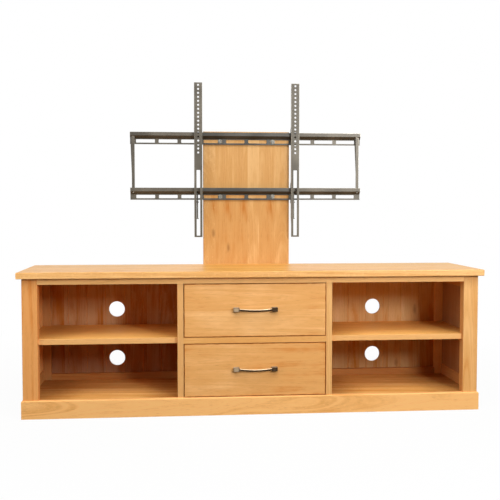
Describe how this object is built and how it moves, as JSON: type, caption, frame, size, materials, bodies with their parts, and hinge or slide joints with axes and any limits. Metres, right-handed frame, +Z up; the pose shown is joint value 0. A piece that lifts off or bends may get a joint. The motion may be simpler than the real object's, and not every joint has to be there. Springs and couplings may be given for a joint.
{
  "type": "television cabinet",
  "caption": "Long low oak media cabinet with open bays, drawers between them, and a rear board that carries a steel bracket for a screen.",
  "frame": {"origin": "on the floor, under the middle of the whole object's box", "axes": "+X along the cabinet to the viewer's right, +Y from the drawer fronts to the back, +Z up"},
  "size_m": [1.9, 0.4864, 1.402],
  "materials": {
    "oak_top": "clear satin lacquer, pale honey oak, grain along X",
    "oak_upright": "clear satin lacquer, honey oak, grain upright",
    "oak_level": "clear satin lacquer, honey oak, grain along X",
    "oak_back": "clear satin lacquer, oak boards, grain upright",
    "oak_pylon": "clear satin lacquer, jointed oak staves, grain upright",
    "oak_drawer_front": "clear satin lacquer, honey oak, grain along X",
    "oak_drawer_box": "bare sanded oak",
    "bracket_steel": "dark grey satin powder coat",
    "zinc": "bright zinc plate",
    "pewter": "dark antique pewter, rubbed bright on its edges"
  },
  "bodies": {
    "cabinet": {"top_board": "oak_top", "front_post_left": "oak_upright", "front_post_right": "oak_upright", "rear_post_left": "oak_upright", "rear_post_right": "oak_upright", "side_panel_left": "oak_upright", "side_panel_right": "oak_upright", "side_top_rail_left": "oak_level", "side_top_rail_right": "oak_level", "side_bottom_rail_left": "oak_level", "side_bottom_rail_right": "oak_level", "front_top_rail": "oak_level", "back_top_rail": "oak_level", "back_bottom_rail": "oak_level", "divider_left": "oak_upright", "divider_right": "oak_upright", "bottom_board": "oak_level", "shelf_left": "oak_level", "shelf_right": "oak_level", "shelf_cleat_left": "oak_level", "shelf_cleat_right": "oak_level", "back_panel_left": "oak_back", "back_panel_centre": "oak_back", "back_panel_right": "oak_back", "drawer_rail": "oak_level", "runner_upper_left": "oak_drawer_box", "runner_upper_right": "oak_drawer_box", "runner_lower_left": "oak_drawer_box", "runner_lower_right": "oak_drawer_box", "plinth_front": "oak_level", "plinth_left": "oak_level", "plinth_right": "oak_level", "base_bearer_left": "oak_level", "base_bearer_right": "oak_level", "pylon_board": "oak_pylon", "pylon_bolts": "zinc", "bracket_rail_upper": "bracket_steel", "bracket_rail_lower": "bracket_steel", "end_bar_left": "bracket_steel", "end_bar_right": "bracket_steel", "rail_bolts": "zinc", "end_bar_screws": "zinc"},
    "drawer_upper": {"drawer_front_upper": "oak_drawer_front", "drawer_side_left_upper": "oak_drawer_box", "drawer_side_right_upper": "oak_drawer_box", "drawer_back_upper": "oak_drawer_box", "drawer_bottom_upper": "oak_drawer_box", "handle_upper": "pewter", "handle_screws_upper": "zinc"},
    "drawer_lower": {"drawer_front_lower": "oak_drawer_front", "drawer_side_left_lower": "oak_drawer_box", "drawer_side_right_lower": "oak_drawer_box", "drawer_back_lower": "oak_drawer_box", "drawer_bottom_lower": "oak_drawer_box", "handle_lower": "pewter", "handle_screws_lower": "zinc"},
    "screen_arm_left": {"arm_left": "bracket_steel", "arm_bolt_left": "zinc"},
    "screen_arm_right": {"arm_right": "bracket_steel", "arm_bolt_right": "zinc"}
  },
  "joints": [
    {"name": "drawer_upper_slide", "type": "slide", "parent": "cabinet", "child": "drawer_upper", "axis": [0, -1, 0], "range_m": [0, 0.28]},
    {"name": "drawer_lower_slide", "type": "slide", "parent": "cabinet", "child": "drawer_lower", "axis": [0, -1, 0], "range_m": [0, 0.28]},
    {"name": "arm_left_slide", "type": "slide", "parent": "cabinet", "child": "screen_arm_left", "axis": [1, 0, 0], "range_m": [-0.255, 0.19]},
    {"name": "arm_right_slide", "type": "slide", "parent": "cabinet", "child": "screen_arm_right", "axis": [1, 0, 0], "range_m": [-0.19, 0.255]}
  ]
}
